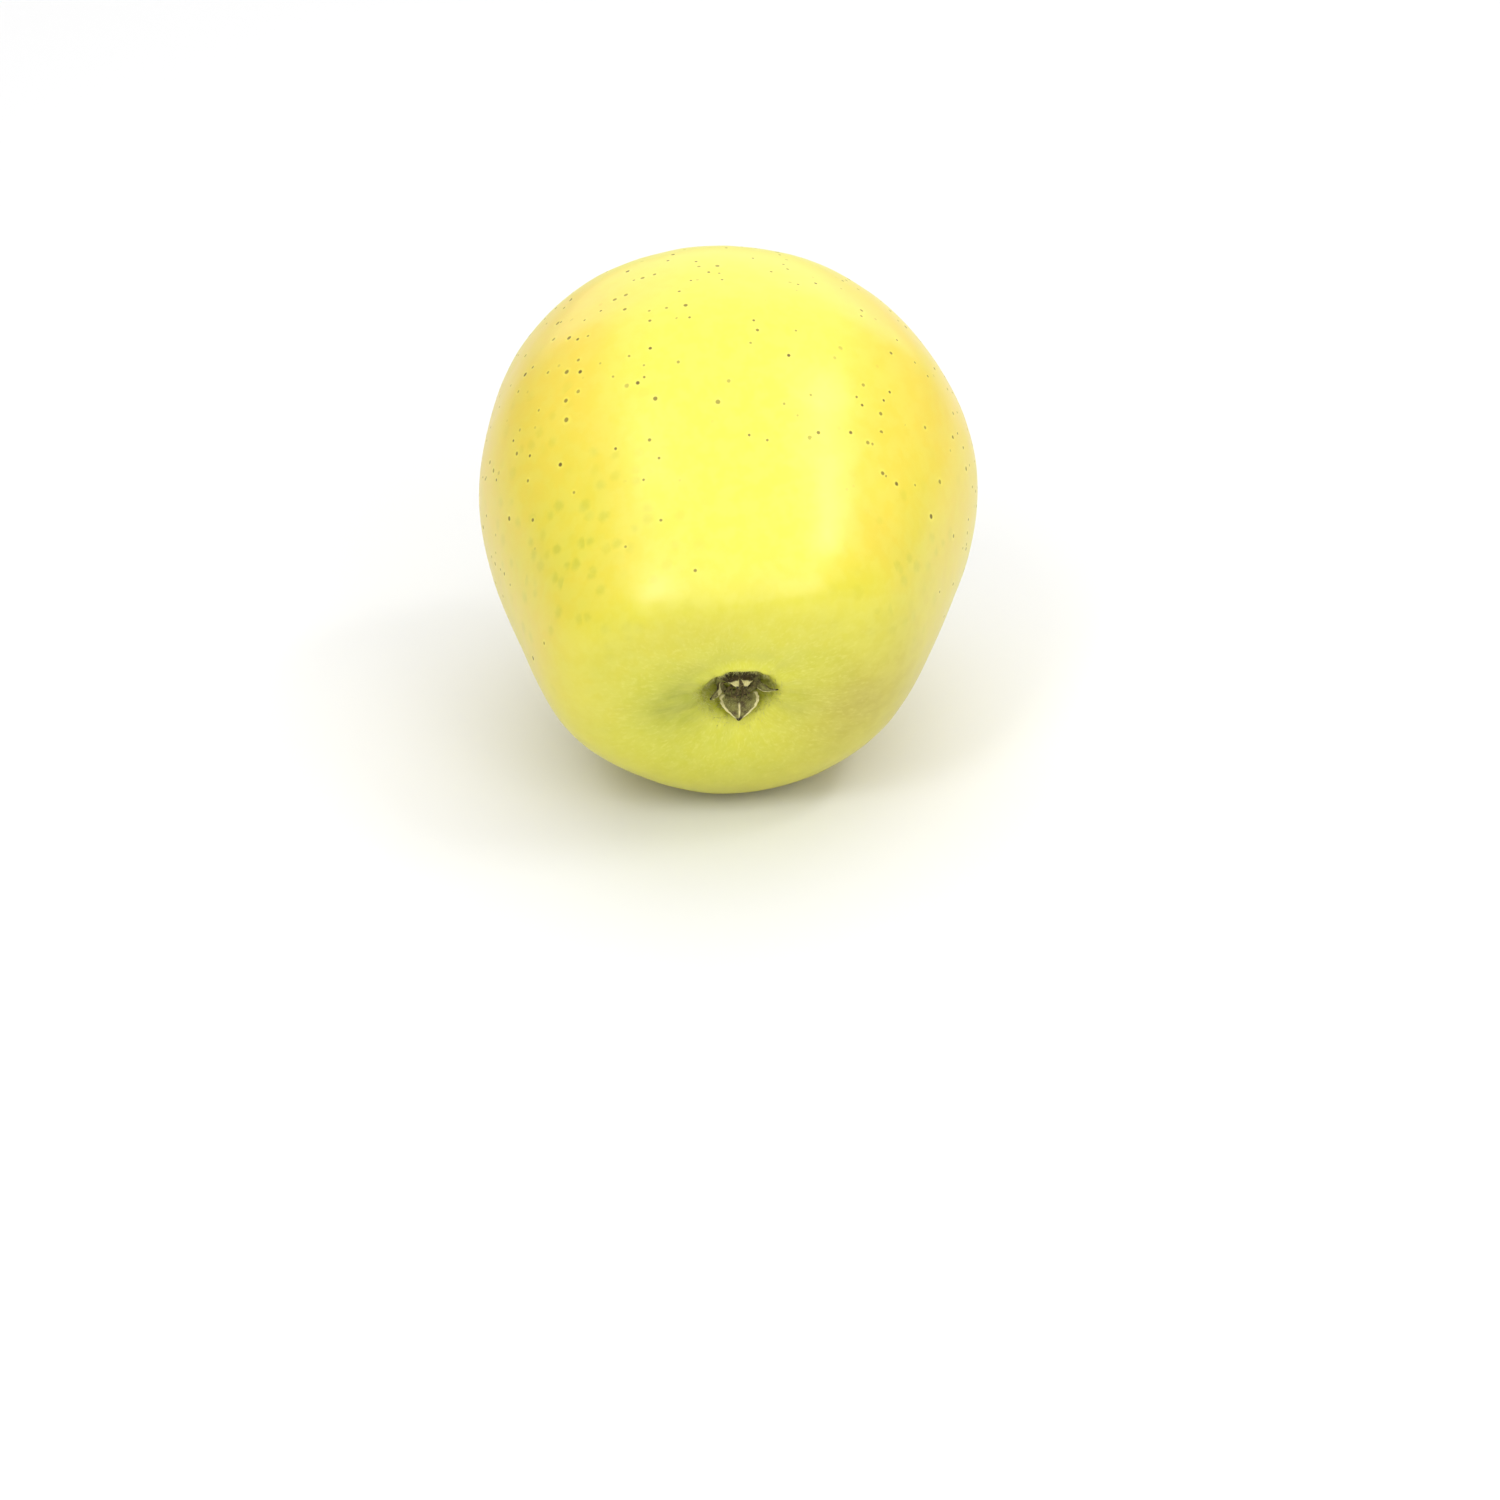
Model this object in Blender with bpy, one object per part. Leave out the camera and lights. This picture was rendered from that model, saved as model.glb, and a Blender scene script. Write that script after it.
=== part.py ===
"""A whole yellow dessert apple that lies on its side, with the eye turned to the front and a little down.

Blender 4.5, metres, +Z up. The fruit, the dried calyx in its eye and the stalk are separate closed solids.
The fruit is drawn in its own core frame: the core is the local Z axis, the eye is at its +Z end and the
stalk at its -Z end. The empty "core" then lays that frame on its side, so that the fruit rests at Z = 0 on
a small flat spot whose middle is the origin. Angles round the core run from local +X towards local +Y.
"""

import math
import random

import bmesh
import bpy
import numpy as np
from mathutils import Euler, Matrix, Vector

MM = 0.001

# How the fruit lies.
CORE_DIP = math.radians(17.6)
CORE_TURN = math.radians(6.8)
CORE_ROLL = math.radians(2.0)
FLAT_SPOT_DEPTH = 0.32 * MM
CUTTER_SIZE = 60 * MM

# The fruit's outline from the eye to the stalk, as radius and height along the core in millimetres.
GIRTH_RADIUS = 37.4
CROWN_HEIGHT = 40.8
EYE_PIT = [(0.0, 36.0), (2.8, 36.2), (4.3, 37.4), (5.5, 39.0), (8.0, 40.1)]
CROWN = [(13.5, CROWN_HEIGHT), (24.5, 37.8)]
CHEEK = [(31.6, 24.2), (GIRTH_RADIUS, 3.4), (35.6, -12.4)]
SHOULDER = [(28.2, -26.9), (15.0, -32.0)]
STALK_CAVITY = [(7.5, -28.0), (3.9, -22.2), (2.5, -20.0), (0.0, -19.6)]
RINGS = 58
SEGMENTS = 60
FINE_RINGS = 240
FINE_SEGMENTS = 360

# How far the fruit is from round. A share of the radius, and the angle round the core where it is fullest.
GIRTH_OVAL = (0.017, math.radians(143.5))
GIRTH_THREE_SIDED = (0.014, math.radians(24.0))
CROWN_OVAL = (0.018, math.radians(45.0))
CROWN_THREE_SIDED = (0.073, math.radians(56.8))
LOBES_AT = np.radians([263.0, 5.0, 65.0, 120.0, 163.0])
LOBE_HALF_WIDTH = math.radians(26.0)
LOBE_SWELL = 0.014
LOBE_RISE = 0.9
BACK_RIPPLE = 0.5
BACK_RIPPLE_AT = 0.6
RING_RADIUS = 14.0
RING_WIDTH = 7.0
CROWN_FULL_HEIGHT = 42.0
BACK_FULL_HEIGHT = 33.0
HALF_HEIGHT = 38.0
CORE_BOW = 1.95
CORE_LEAN = -0.91
CROWN_SLOPE_X = -0.014
CROWN_SLOPE_Y = 0.048

# The upper flank of the crown is drawn in by a share of its radius, and its shoulder and the eye's upper lip
# stand a little higher.
FLANK_FLAT = 0.188
FLANK_AT = math.radians(85.0)
FLANK_SPREAD = math.radians(48.0)
FLANK_HEIGHTS = (-8.5, 37.0)
FLANK_RADII = (3.0, 20.8)
FLANK_RISE = 0.45
FLANK_RISE_RADIUS = 24.5
FLANK_RISE_WIDTH = 5.9
LIP_RISE = 1.3
LIP_SPREAD = math.radians(75.0)
LIP_RADIUS = 6.2
LIP_WIDTH = 1.6

# The dried calyx in the eye. EYE_AT is the middle of the pit's floor in the core frame. The cup's sizes are
# in millimetres, from the pit's floor.
EYE_AT = (-0.7 * MM, 0.0, 36.0 * MM)
EYE_TURN = (math.radians(2.0), math.radians(0.6), 0.0)
CUP_INNER = 2.3
CUP_OUTER = 3.3
CUP_INNER_FOOT = 0.45
CUP_OUTER_FOOT = 0.80
CUP_TOP = 1.2
CUP_SIDES = 30

# The sepals stand on the cup and curve round the eye. A leaf widens, then tapers to its tip. The half width
# of the tip, the thickness, the channel between its raised edges and the wave of the edges are in
# millimetres.
SEPAL_RING = 2.9
SEPAL_FOOT = 1.55
SEPAL_THICKNESS = 0.32
SEPAL_TIP = 0.14
SEPAL_TAPER = 1.35
SEPAL_CHANNEL = 0.22
SEPAL_WAVE = 0.12
SEPAL_WAVES = 7.5
SEPAL_ROWS = 9
SEPAL_COLUMNS = 6

# One line for each sepal: angle round the eye, how far its tip veers from that angle, its length, the width
# of its foot, how much it widens, and the slopes at its foot and tip. Lengths in millimetres, angles in
# degrees.
SEPALS = [
    (270.0, -5.0, 3.6, 4.8, 3.0, 74.0, 54.0),
    (356.0, 14.0, 3.75, 2.0, 0.5, 66.0, 24.0),
    (60.0, 14.0, 2.9, 2.7, 0.9, 92.0, 120.0),
    (123.5, -22.0, 2.8, 2.6, 0.9, 90.0, 124.0),
    (186.0, -10.0, 3.2, 2.3, 1.3, 72.0, 46.0),
]

# The tuft of dried stamens inside the cup.
TUFT_RADIUS = 1.45 * MM
TUFT_HEIGHT = 1.0 * MM
TUFT_FOOT = 0.5 * MM
FILAMENTS = 9
FILAMENT_RADIUS = 0.17 * MM
FILAMENT_LENGTH = 2.3 * MM
FILAMENT_FOOT = 0.3 * MM
FILAMENT_RING = 0.45
FILAMENT_HEAD = 1.6
FILAMENT_LEANS = (8, 34)
FILAMENT_LENGTHS = (0.8, 1.1)
FILAMENT_SIDES = 6
TUFT_SEGMENTS = 16
TUFT_RINGS = 8
TUFT_SEED = 11

# The woody stalk. Its path runs from the cavity's floor past the shoulder.
STALK_PATH = [(1.9, 0.0, -20.4), (2.0, 0.5, -26.0), (2.5, 1.7, -32.0), (3.6, 3.4, -37.6), (4.4, 4.4, -40.2)]
STALK_RADIUS = 1.15 * MM
STALK_FOOT_FLARE = 0.35 * MM
STALK_KNOB = 0.75 * MM
STALK_FLARE_LENGTH = 0.12
STALK_KNOB_AT = 0.97
STALK_KNOB_LENGTH = 0.10
STALK_SIDES = 12
STALK_ROWS = 16

# Colours as linear RGB, with roughness.
SKIN = ((0.82, 0.74, 0.09), 0.32)
DRY_CALYX = ((0.16, 0.13, 0.045), 0.75)
DRY_STAMEN = ((0.30, 0.22, 0.08), 0.85)
STALK_WOOD = ((0.10, 0.055, 0.022), 0.7)


def clear_scene():
    for item in list(bpy.data.objects):
        bpy.data.objects.remove(item, do_unlink=True)


def make_material(name, finish):
    colour, roughness = finish
    material = bpy.data.materials.new(name)
    material.use_nodes = True
    shader = material.node_tree.nodes["Principled BSDF"]
    shader.inputs["Base Color"].default_value = (*colour, 1.0)
    shader.inputs["Roughness"].default_value = roughness
    shader.inputs["Metallic"].default_value = 0.0
    return material


def add_object(name, work, material, parent):
    """Turn a bmesh into a named, smooth-shaded object under its parent."""
    bmesh.ops.recalc_face_normals(work, faces=work.faces)
    mesh = bpy.data.meshes.new(name)
    work.to_mesh(mesh)
    work.free()
    mesh.shade_smooth()
    mesh.materials.append(material)
    item = bpy.data.objects.new(name, mesh)
    bpy.context.collection.objects.link(item)
    item.parent = parent
    return item


def smooth_line(points, count):
    """A natural cubic spline through the points, knotted by the square root of their spacing."""
    points = np.asarray(points, float)
    knots = np.concatenate([[0.0], np.cumsum(np.sqrt(np.linalg.norm(np.diff(points, axis=0), axis=1)))])
    gap = np.diff(knots)
    last = len(points) - 1
    system = np.eye(last + 1)
    rate = np.zeros_like(points)
    for i in range(1, last):
        system[i, i - 1 : i + 2] = gap[i - 1], 2 * (gap[i - 1] + gap[i]), gap[i]
        rate[i] = 6 * ((points[i + 1] - points[i]) / gap[i] - (points[i] - points[i - 1]) / gap[i - 1])
    bend = np.linalg.solve(system, rate)
    at = np.linspace(0.0, knots[-1], count)
    k = np.clip(np.searchsorted(knots, at, side="right") - 1, 0, last - 1)
    left = (at - knots[k])[:, None]
    right = (knots[k + 1] - at)[:, None]
    span = gap[k][:, None]
    curve = (bend[k] * right**3 + bend[k + 1] * left**3) / (6 * span)
    curve += (points[k] / span - bend[k] * span / 6) * right
    curve += (points[k + 1] / span - bend[k + 1] * span / 6) * left
    return curve


def angle_apart(angle, other):
    return (angle - other + np.pi) % (2 * np.pi) - np.pi


def ramp(value, low, high):
    """0 at low and 1 at high, with soft ends."""
    share = np.clip((value - low) / (high - low), 0, 1)
    return share * share * (3 - 2 * share)


def hump(away, width):
    """1 in the middle of a soft hump, fading over its width."""
    return np.exp(-((away / width) ** 2))


def lobe_field(angle):
    """The five ribs of the crown: positive on a rib, negative in a valley."""
    field = hump(angle_apart(angle[..., None], LOBES_AT), LOBE_HALF_WIDTH).sum(-1)
    return field - field.mean()


def swell(fullness, angle, sides):
    amount, fullest = fullness
    return amount * np.cos(sides * (angle - fullest))


def fruit_surface(rings, segments):
    """Rings of points over the whole skin in the core frame, in metres, from the eye to the stalk."""
    outline = smooth_line(EYE_PIT + CROWN + CHEEK + SHOULDER + STALK_CAVITY, rings)
    radius = outline[:, 0][:, None]
    height = outline[:, 1][:, None]
    angle = np.linspace(0.0, 2 * np.pi, segments, endpoint=False)[None, :]
    lobe = lobe_field(angle)
    out = np.clip(radius / GIRTH_RADIUS, 0, 1)
    crown = np.clip(height / CROWN_FULL_HEIGHT, 0, 1) ** 2
    back = np.clip(-height / BACK_FULL_HEIGHT, 0, 1) ** 2
    fullness = swell(GIRTH_OVAL, angle, 2) + swell(GIRTH_THREE_SIDED, angle, 3)
    fullness = fullness + crown * (swell(CROWN_OVAL, angle, 2) + swell(CROWN_THREE_SIDED, angle, 3))
    flank = hump(angle_apart(angle, FLANK_AT), FLANK_SPREAD)
    flat = FLANK_FLAT * flank * ramp(height, *FLANK_HEIGHTS) * ramp(radius, *FLANK_RADII)
    reach = radius * (1 + out**2 * fullness + LOBE_SWELL * crown * out * lobe - flat)
    along = height / HALF_HEIGHT
    x = reach * np.cos(angle) + CORE_BOW * (1 - along**2) + CORE_LEAN * along
    y = reach * np.sin(angle)
    ring = hump(radius - RING_RADIUS, RING_WIDTH)
    rise = CROWN_SLOPE_X * x + CROWN_SLOPE_Y * y + LOBE_RISE * ring * lobe
    rise = rise + FLANK_RISE * flank * hump(radius - FLANK_RISE_RADIUS, FLANK_RISE_WIDTH)
    lip = hump(radius - LIP_RADIUS, LIP_WIDTH) * hump(angle_apart(angle, FLANK_AT), LIP_SPREAD)
    rise = rise + LIP_RISE * lip
    z = height + crown * rise - back * BACK_RIPPLE * ring * np.cos(5 * angle + BACK_RIPPLE_AT)
    return np.stack([x, y, z], -1) * MM


def core_rotation():
    """Lay the core down: the eye points towards -Y and dips below the horizontal."""
    roll = Matrix.Rotation(CORE_ROLL, 3, "Z")
    tip = Matrix.Rotation(math.pi / 2 + CORE_DIP, 3, "X")
    turn = Matrix.Rotation(CORE_TURN, 3, "Z")
    return turn @ tip @ roll


def resting_place(rotation):
    """Where the core's origin goes, so that the flat spot is at Z = 0 and its middle is the world origin."""
    turned = fruit_surface(FINE_RINGS, FINE_SEGMENTS).reshape(-1, 3) @ np.array(rotation).T
    floor = turned[:, 2].min() + FLAT_SPOT_DEPTH
    spot = turned[turned[:, 2] < floor]
    middle = (spot.min(0) + spot.max(0)) / 2
    return Vector((-middle[0], -middle[1], -floor))


def add_rings(work, rings):
    """Make vertices for rings of points and join neighbouring rings by faces."""
    loops = [[work.verts.new(point) for point in ring] for ring in rings]
    for first, second in zip(loops, loops[1:]):
        count = len(first)
        for i in range(count):
            j = (i + 1) % count
            work.faces.new((first[i], first[j], second[j], second[i]))
    return loops


def close_end(work, loop, point):
    tip = work.verts.new(point)
    for i in range(len(loop)):
        work.faces.new((loop[i], loop[(i + 1) % len(loop)], tip))


def make_fruit(core, skin):
    surface = fruit_surface(RINGS, SEGMENTS)
    work = bmesh.new()
    loops = add_rings(work, surface[1:-1].tolist())
    close_end(work, loops[0], surface[0].mean(0).tolist())
    close_end(work, loops[-1], surface[-1].mean(0).tolist())
    return add_object("fruit_body", work, skin, core)


def cut_flat_spot(fruit):
    """Take the lowest sliver off the fruit, so that it rests on a small flat face."""
    bpy.ops.mesh.primitive_cube_add(size=CUTTER_SIZE, location=(0, 0, -CUTTER_SIZE / 2))
    cutter = bpy.context.object
    cutter.name = "rest_cutter"
    cutter.hide_render = True
    cutter.display_type = "WIRE"
    cut = fruit.modifiers.new("flat_spot", "BOOLEAN")
    cut.operation = "DIFFERENCE"
    cut.object = cutter


def make_cup(eye, dry):
    """The dried ring that carries the sepals. Its foot follows the slope of the pit's floor."""
    wall = CUP_OUTER - CUP_INNER
    shoulder = CUP_TOP - 0.15 * wall
    section = [
        (CUP_INNER + 0.10 * wall, CUP_INNER_FOOT),
        (CUP_OUTER - 0.25 * wall, CUP_OUTER_FOOT - 0.10 * wall),
        (CUP_OUTER, CUP_OUTER_FOOT + 0.10 * wall),
        (CUP_OUTER, shoulder),
        (CUP_OUTER - 0.25 * wall, CUP_TOP),
        (CUP_INNER + 0.25 * wall, CUP_TOP),
        (CUP_INNER, shoulder),
        (CUP_INNER, CUP_INNER_FOOT + 0.15 * wall),
    ]
    work = bmesh.new()
    profile = [work.verts.new((radius * MM, 0.0, height * MM)) for radius, height in section]
    edges = [work.edges.new((profile[i - 1], profile[i])) for i in range(len(profile))]
    bmesh.ops.spin(work, geom=profile + edges, axis=(0, 0, 1), cent=(0, 0, 0), angle=2 * math.pi,
                   steps=CUP_SIDES, use_merge=True)
    bmesh.ops.remove_doubles(work, verts=work.verts, dist=0.00001)
    return add_object("calyx_cup", work, dry, eye)


def make_sepal(index, sizes, eye, dry):
    """A thin leaf that follows the ring at its foot, bends along its length and has raised, wavy edges."""
    angle, veer, length, width, belly, slope, tip_slope = sizes
    work = bmesh.new()
    grid = []
    out = 0.0
    up = 0.0
    step = length / SEPAL_ROWS
    for row in range(SEPAL_ROWS + 1):
        share = row / SEPAL_ROWS
        bend = math.radians(slope + (tip_slope - slope) * share)
        half = width / 2 * (1 + belly * share) * (1 - share) ** SEPAL_TAPER + SEPAL_TIP * share
        turn = math.radians(veer) * share
        outward = Vector((math.cos(turn), math.sin(turn), 0.0))
        sideways = Vector((-math.sin(turn), math.cos(turn), 0.0))
        line = []
        for column in range(SEPAL_COLUMNS + 1):
            side = 2 * column / SEPAL_COLUMNS - 1
            wave = SEPAL_WAVE * math.sin(SEPAL_WAVES * share + 2 * index) * side
            lift = (SEPAL_CHANNEL * half * side**2 + wave) * min(1.0, 3 * share)
            aside = side * half
            wrap = aside**2 / (2 * SEPAL_RING) * (1 - share) ** 2
            radius = SEPAL_RING + out - wrap - lift * math.sin(bend)
            height = Vector((0.0, 0.0, up + lift * math.cos(bend)))
            line.append(work.verts.new((radius * outward + aside * sideways + height) * MM))
        grid.append(line)
        out += step * math.cos(bend)
        up += step * math.sin(bend)
    for lower, upper in zip(grid, grid[1:]):
        for i in range(SEPAL_COLUMNS):
            work.faces.new((lower[i], lower[i + 1], upper[i + 1], upper[i]))
    bmesh.ops.triangulate(work, faces=work.faces)
    leaf = add_object(f"sepal_{index + 1}", work, dry, eye)
    leaf.location = (0.0, 0.0, SEPAL_FOOT * MM)
    leaf.rotation_euler = (0.0, 0.0, math.radians(angle))
    shell = leaf.modifiers.new("thickness", "SOLIDIFY")
    shell.thickness = SEPAL_THICKNESS * MM
    shell.offset = 0.0
    return leaf


def sweep(work, path, radii, sides):
    """A closed round bar along a path of points, with a radius for each point."""
    path = [Vector(point) for point in path]
    aside = Vector((1, 0, 0))
    rings = []
    for i, (point, radius) in enumerate(zip(path, radii)):
        along = (path[min(i + 1, len(path) - 1)] - path[max(i - 1, 0)]).normalized()
        aside = (aside - along * aside.dot(along)).normalized()
        beside = along.cross(aside)
        turns = [2 * math.pi * k / sides for k in range(sides)]
        rings.append([point + radius * (aside * math.cos(t) + beside * math.sin(t)) for t in turns])
    loops = add_rings(work, rings)
    close_end(work, loops[0], path[0])
    close_end(work, loops[-1], path[-1])


def make_tuft(eye, dry):
    """A low heap with dried filaments that stand out of it, joined into one solid."""
    draw = random.Random(TUFT_SEED)
    work = bmesh.new()
    bmesh.ops.create_uvsphere(work, u_segments=TUFT_SEGMENTS, v_segments=TUFT_RINGS, radius=TUFT_RADIUS)
    for vertex in work.verts:
        vertex.co.z = max(vertex.co.z, 0.0) * TUFT_HEIGHT / TUFT_RADIUS
    bmesh.ops.remove_doubles(work, verts=work.verts, dist=0.00001)
    bmesh.ops.dissolve_degenerate(work, dist=0.00001, edges=work.edges)
    lowest = [f for f in work.faces if all(v.co.z < 0.00001 for v in f.verts)]
    bmesh.ops.dissolve_faces(work, faces=lowest)
    tuft = add_object("stamen_tuft", work, dry, None)
    threads = bpy.data.collections.new("filaments")
    bpy.context.scene.collection.children.link(threads)
    for index in range(FILAMENTS):
        around = 2 * math.pi * (index + draw.uniform(-0.25, 0.25)) / FILAMENTS
        lean = math.radians(draw.uniform(*FILAMENT_LEANS))
        reach = FILAMENT_LENGTH * draw.uniform(*FILAMENT_LENGTHS)
        start = FILAMENT_RING * TUFT_RADIUS
        outward = Vector((math.cos(around), math.sin(around), 0.0))
        path = []
        for share in (0.0, 0.35, 0.7, 1.0):
            path.append(outward * (start + reach * share**1.5 * math.sin(lean))
                        + Vector((0, 0, FILAMENT_FOOT + reach * share * math.cos(lean))))
        filament = bmesh.new()
        sweep(filament, path, [FILAMENT_RADIUS] * 3 + [FILAMENT_HEAD * FILAMENT_RADIUS], FILAMENT_SIDES)
        bar = add_object(f"filament_{index}", filament, dry, None)
        bpy.context.collection.objects.unlink(bar)
        threads.objects.link(bar)
    union = tuft.modifiers.new("joined", "BOOLEAN")
    union.operation = "UNION"
    union.operand_type = "COLLECTION"
    union.collection = threads
    joined = bpy.data.meshes.new_from_object(tuft.evaluated_get(bpy.context.evaluated_depsgraph_get()))
    tuft.modifiers.clear()
    tuft.data = joined
    for bar in list(threads.objects):
        bpy.data.objects.remove(bar, do_unlink=True)
    bpy.data.collections.remove(threads)
    tuft.parent = eye
    tuft.location = (0.0, 0.0, TUFT_FOOT)
    return tuft


def make_stalk(core, wood):
    """The stalk thickens where it meets the fruit and ends in a knob where it left the branch."""
    path = smooth_line(STALK_PATH, STALK_ROWS) * MM
    radii = []
    for row in range(STALK_ROWS):
        share = row / (STALK_ROWS - 1)
        flare = STALK_FOOT_FLARE * math.exp(-((share / STALK_FLARE_LENGTH) ** 2))
        knob = STALK_KNOB * math.exp(-(((share - STALK_KNOB_AT) / STALK_KNOB_LENGTH) ** 2))
        radii.append(STALK_RADIUS + flare + knob)
    work = bmesh.new()
    sweep(work, path.tolist(), radii, STALK_SIDES)
    return add_object("stalk", work, wood, core)


def main():
    clear_scene()
    skin = make_material("apple_skin", SKIN)
    dry = make_material("dried_calyx", DRY_CALYX)
    threads = make_material("dried_stamens", DRY_STAMEN)
    wood = make_material("stalk_wood", STALK_WOOD)

    core = bpy.data.objects.new("core", None)
    bpy.context.collection.objects.link(core)
    rotation = core_rotation()
    core.rotation_euler = rotation.to_euler()
    core.location = resting_place(rotation)

    eye = bpy.data.objects.new("eye", None)
    bpy.context.collection.objects.link(eye)
    eye.parent = core
    eye.location = EYE_AT
    eye.rotation_euler = Euler(EYE_TURN)

    fruit = make_fruit(core, skin)
    cut_flat_spot(fruit)
    make_cup(eye, dry)
    for index, sizes in enumerate(SEPALS):
        make_sepal(index, sizes, eye, dry)
    make_tuft(eye, threads)
    make_stalk(core, wood)


main()
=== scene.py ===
"""The looks of a whole yellow dessert apple that lies on its side with its eye to the front.

Sizes are in millimetres unless a name says otherwise, and meshes are made in metres. The fruit is drawn round
its core: the local Z axis, with the eye at +Z and the stalk at -Z. Angles round the core run from local +X
towards local +Y, and the camera sees the side near 90 degrees.
"""

import math
import bpy
import numpy as np
from mathutils import Euler, Matrix, Quaternion, Vector, noise


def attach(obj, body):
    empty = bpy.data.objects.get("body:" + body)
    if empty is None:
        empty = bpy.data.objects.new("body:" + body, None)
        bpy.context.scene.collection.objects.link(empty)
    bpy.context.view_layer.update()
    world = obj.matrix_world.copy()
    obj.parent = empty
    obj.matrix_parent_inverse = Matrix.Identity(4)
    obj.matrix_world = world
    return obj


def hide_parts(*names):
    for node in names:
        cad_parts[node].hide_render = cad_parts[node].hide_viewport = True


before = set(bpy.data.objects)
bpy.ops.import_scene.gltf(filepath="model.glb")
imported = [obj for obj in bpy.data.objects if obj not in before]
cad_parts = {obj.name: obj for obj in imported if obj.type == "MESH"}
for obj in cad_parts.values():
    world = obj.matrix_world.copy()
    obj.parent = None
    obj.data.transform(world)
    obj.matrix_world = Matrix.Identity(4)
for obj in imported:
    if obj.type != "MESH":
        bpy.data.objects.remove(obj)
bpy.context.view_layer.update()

MM = 0.001
BODY = "root"

# How the fruit lies. The flat spot under it is at Z = 0.
CORE_DIP = math.radians(17.6)
CORE_TURN = math.radians(6.8)
CORE_ROLL = math.radians(2.0)
FLAT_SPOT_DEPTH = 0.32
REST_RINGS = 240
REST_SEGMENTS = 360

# The fruit's outline from the eye to the stalk, as radius and height along the core.
GIRTH_RADIUS = 37.4
CROWN_HEIGHT = 40.8
EYE_PIT = [(0.0, 36.0), (2.8, 36.2), (4.3, 37.4), (5.5, 39.0), (8.0, 40.1)]
CROWN = [(13.5, CROWN_HEIGHT), (24.5, 37.8)]
CHEEK = [(31.6, 24.2), (GIRTH_RADIUS, 3.4), (35.6, -12.4)]
SHOULDER = [(28.2, -26.9), (15.0, -32.0)]
STALK_CAVITY = [(7.5, -28.0), (3.9, -22.2), (2.5, -20.0), (0.0, -19.6)]
SKIN_RINGS = 296
SKIN_SEGMENTS = 320

# How far the fruit is from round: a share of the radius, and the angle round the core where it is fullest.
GIRTH_OVAL = (0.017, math.radians(143.5))
GIRTH_THREE_SIDED = (0.014, math.radians(24.0))
CROWN_OVAL = (0.018, math.radians(45.0))
CROWN_THREE_SIDED = (0.073, math.radians(56.8))
LOBES_AT = np.radians([263.0, 5.0, 65.0, 120.0, 163.0])
LOBE_HALF_WIDTH = math.radians(26.0)
LOBE_SWELL = 0.014
LOBE_RISE = 0.9
BACK_RIPPLE = 0.5
BACK_RIPPLE_AT = 0.6
RING_RADIUS = 14.0
RING_WIDTH = 7.0
CROWN_FULL_HEIGHT = 42.0
BACK_FULL_HEIGHT = 33.0
HALF_HEIGHT = 38.0
CORE_BOW = 1.95
CORE_LEAN = -0.91
CROWN_SLOPE_X = -0.014
CROWN_SLOPE_Y = 0.048

# The upper flank of the crown is drawn in by a share of its radius, and its shoulder and the eye's upper lip
# stand a little higher.
FLANK_FLAT = 0.188
FLANK_AT = math.radians(85.0)
FLANK_SPREAD = math.radians(48.0)
FLANK_HEIGHTS = (-8.5, 37.0)
FLANK_RADII = (3.0, 20.8)
FLANK_RISE = 0.45
FLANK_RISE_RADIUS = 24.5
FLANK_RISE_WIDTH = 5.9
LIP_RISE = 1.3
LIP_SPREAD = math.radians(75.0)
LIP_RADIUS = 6.2
LIP_WIDTH = 1.6

# The fine relief of the skin.
PUCKER_DEPTH = 0.10
PUCKER_RADIUS = 8.0
PUCKER_WIDTH = 3.5
PUCKER_RIPPLES = (7, 11, 16, 23)
PUCKER_MAIN_RIPPLE = 11
PUCKER_FROM = (3.8, 6.0)
DENT_DEPTH = 0.22
DENT_SIZE = 13.0
SMALL_DENT_SHARE = 0.25
SMALL_DENTS = 3.1

# The dried calyx in the eye, placed by the middle of the pit's floor.
EYE_AT = (-0.7, 0.0, 36.0)
EYE_TURN = (math.radians(2.0), math.radians(0.6), 0.0)
CUP_INNER = 2.3
CUP_OUTER = 3.3
CUP_INNER_FOOT = 0.45
CUP_OUTER_FOOT = 0.80
CUP_TOP = 1.2
CUP_SIDES = 120
CUP_CRACK = 0.09

# The sepals: the ring that they stand on, and how a leaf tapers, channels, waves, frays and thins.
SEPAL_RING = 2.9
SEPAL_FOOT = 1.55
SEPAL_THICKNESS = 0.30
SEPAL_TIP = 0.14
SEPAL_TAPER = 1.35
SEPAL_CHANNEL = 0.22
SEPAL_WAVE = 0.12
SEPAL_WAVES = 7.5
SEPAL_FRAY = 0.10
SEPAL_CURL = 0.16
SEPAL_RIB = 0.035
SEPAL_RIB_WAVES = 9.5
SEPAL_THIN_EDGE = 0.65
SEPAL_THIN_TIP = 0.55
SEPAL_STEPS = 24
SEPAL_ROWS = 44
SEPAL_COLUMNS = 28

# One line for each sepal: angle round the eye, how far its tip veers from that angle, its length, the width
# of its foot, how much it widens, and the slopes at its foot and tip, in degrees and millimetres.
SEPALS = [
    (270.0, -5.0, 3.6, 4.8, 3.0, 74.0, 54.0),
    (356.0, 14.0, 3.75, 2.0, 0.5, 66.0, 24.0),
    (60.0, 14.0, 2.9, 2.7, 0.9, 92.0, 120.0),
    (123.5, -22.0, 2.8, 2.6, 0.9, 90.0, 124.0),
    (186.0, -10.0, 3.2, 2.3, 1.3, 72.0, 46.0),
]

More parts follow.
